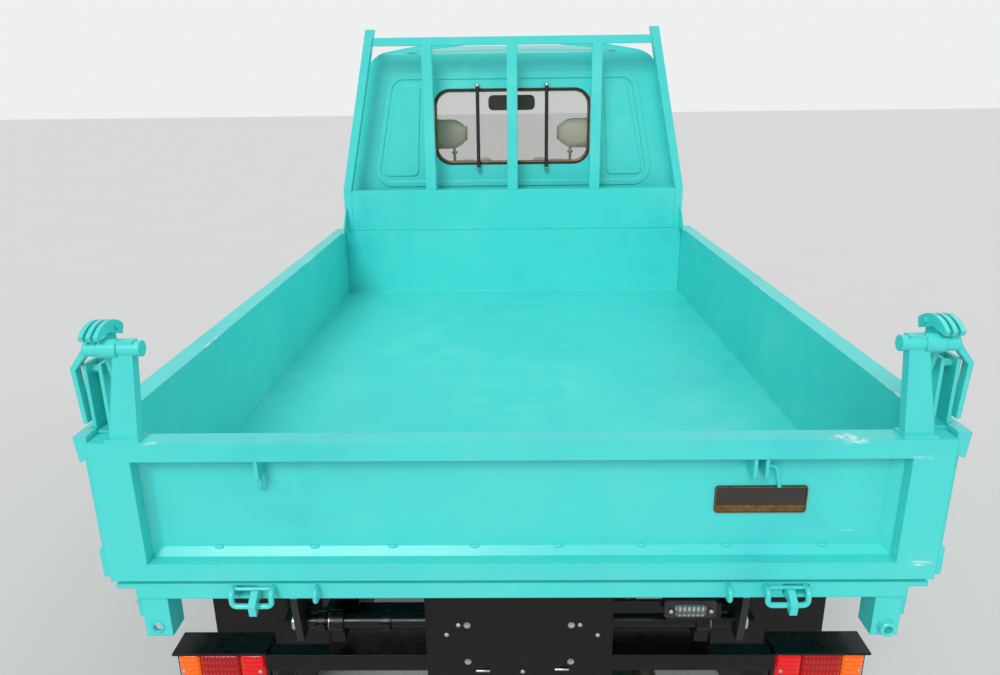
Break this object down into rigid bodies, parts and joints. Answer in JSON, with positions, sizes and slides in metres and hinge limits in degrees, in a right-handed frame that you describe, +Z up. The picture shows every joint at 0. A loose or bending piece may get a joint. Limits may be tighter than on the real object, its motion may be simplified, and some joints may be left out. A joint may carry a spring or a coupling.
{
  "type": "kei dump truck",
  "caption": "Small cab-over truck with a tipping load bed, hinged tailgate, guard frame, steering front wheels and opening doors.",
  "frame": {"origin": "on the ground, under the middle of the vehicle's length and width", "axes": "+Y forwards, +X to the driver's right, +Z up"},
  "size_m": [1.6, 3.295, 1.7419],
  "materials": {
    "body_paint": "gloss",
    "chassis_paint": "satin",
    "black_paint": "satin",
    "black_plastic": "fine grain",
    "glass": "clear",
    "lamp_glass": "clear",
    "lamp_red": "gloss",
    "interior_plastic": "fine grain",
    "seat_cloth": "woven",
    "engine_metal": "cast",
    "exhaust_steel": "dull",
    "rod_chrome": "ground",
    "rim_steel": "satin",
    "tyre": "rubber"
  },
  "bodies": {
    "root": {"cab_floor": "body_paint", "cab_front_panel": "body_paint", "cab_rear_panel": "body_paint", "cab_roof": "body_paint", "cab_sides": "body_paint", "cab_windows": "glass", "chassis_frame": "chassis_paint", "dashboard": "interior_plastic", "exhaust": "exhaust_steel", "front_bumper": "black_plastic", "front_suspension": "chassis_paint", "fuel_tank": "black_paint", "headlamps": "lamp_glass", "power_unit": "engine_metal", "rear_axle": "chassis_paint", "rear_carrier": "black_paint", "seat_deck": "body_paint", "seats": "seat_cloth", "tail_lamps": "lamp_red", "window_guard_bars": "black_paint"},
    "steering_wheel": {"steering_wheel": "black_plastic"},
    "knuckle_left": {"knuckle_left": "chassis_paint"},
    "knuckle_right": {"knuckle_right": "chassis_paint"},
    "wheel_front_left": {"tyre_front_left": "tyre", "rim_front_left": "rim_steel"},
    "wheel_front_right": {"tyre_front_right": "tyre", "rim_front_right": "rim_steel"},
    "wheel_rear_left": {"tyre_rear_left": "tyre", "rim_rear_left": "rim_steel"},
    "wheel_rear_right": {"tyre_rear_right": "tyre", "rim_rear_right": "rim_steel"},
    "door_left": {"door_left": "body_paint", "door_glass_left": "glass", "mirror_left": "black_plastic"},
    "door_right": {"door_right": "body_paint", "door_glass_right": "glass", "mirror_right": "black_plastic"},
    "bed": {"bed_floor": "body_paint", "bed_sides": "body_paint", "bed_front_wall": "body_paint", "guard_frame": "body_paint", "gate_locks": "body_paint"},
    "tailgate": {"tailgate": "body_paint"},
    "hoist_barrel": {"hoist_barrel": "black_paint"},
    "hoist_rod": {"hoist_rod": "rod_chrome"}
  },
  "joints": [
    {"name": "steering_wheel_turn", "type": "hinge", "parent": "root", "child": "steering_wheel", "pos_m": [0.3, 1.29, 1.01], "axis": [0, -0.5, 0.866], "range_deg": [-560, 560]},
    {"name": "steer_left", "type": "hinge", "parent": "root", "child": "knuckle_left", "pos_m": [-0.49, 1.0075, 0.27], "axis": [0, 0, 1], "range_deg": [-35, 35]},
    {"name": "steer_right", "type": "hinge", "parent": "root", "child": "knuckle_right", "pos_m": [0.49, 1.0075, 0.27], "axis": [0, 0, 1], "range_deg": [-35, 35]},
    {"name": "spin_front_left", "type": "hinge", "parent": "knuckle_left", "child": "wheel_front_left", "pos_m": [-0.6025, 1.0075, 0.27], "axis": [-1, 0, 0], "continuous": true},
    {"name": "spin_front_right", "type": "hinge", "parent": "knuckle_right", "child": "wheel_front_right", "pos_m": [0.6025, 1.0075, 0.27], "axis": [-1, 0, 0], "continuous": true},
    {"name": "spin_rear_left", "type": "hinge", "parent": "root", "child": "wheel_rear_left", "pos_m": [-0.6, -0.8925, 0.27], "axis": [-1, 0, 0], "continuous": true},
    {"name": "spin_rear_right", "type": "hinge", "parent": "root", "child": "wheel_rear_right", "pos_m": [0.6, -0.8925, 0.27], "axis": [-1, 0, 0], "continuous": true},
    {"name": "door_left_swing", "type": "hinge", "parent": "root", "child": "door_left", "pos_m": [-0.691, 1.499, 0.76], "axis": [0, 0, -1], "range_deg": [0, 65]},
    {"name": "door_right_swing", "type": "hinge", "parent": "root", "child": "door_right", "pos_m": [0.691, 1.499, 0.76], "axis": [0, 0, 1], "range_deg": [0, 65]},
    {"name": "bed_tilt", "type": "hinge", "parent": "root", "child": "bed", "pos_m": [0, -1.535, 0.629], "axis": [1, 0, 0], "range_deg": [0, 50]},
    {"name": "tailgate_swing", "type": "hinge", "parent": "bed", "child": "tailgate", "pos_m": [0, -1.5965, 1.159], "axis": [-1, 0, 0], "range_deg": [0, 90]},
    {"name": "hoist_swing", "type": "hinge", "parent": "root", "child": "hoist_barrel", "pos_m": [0, -1.08, 0.49], "axis": [1, 0, 0], "range_deg": [0, 61.32]},
    {"name": "hoist_slide", "type": "slide", "parent": "hoist_barrel", "child": "hoist_rod", "axis": [0, 0.9818, 0.1897], "range_m": [0, 0.3452]}
  ],
  "couplings": [
    {"joint": "steer_left", "follows": "steering_wheel_turn", "ratio": 0.0625},
    {"joint": "steer_right", "follows": "steering_wheel_turn", "ratio": 0.0625},
    {"joint": "hoist_swing", "follows": "bed_tilt", "ratio": 1.2253},
    {"joint": "hoist_slide", "follows": "bed_tilt", "m_per_rad": 0.39504}
  ]
}
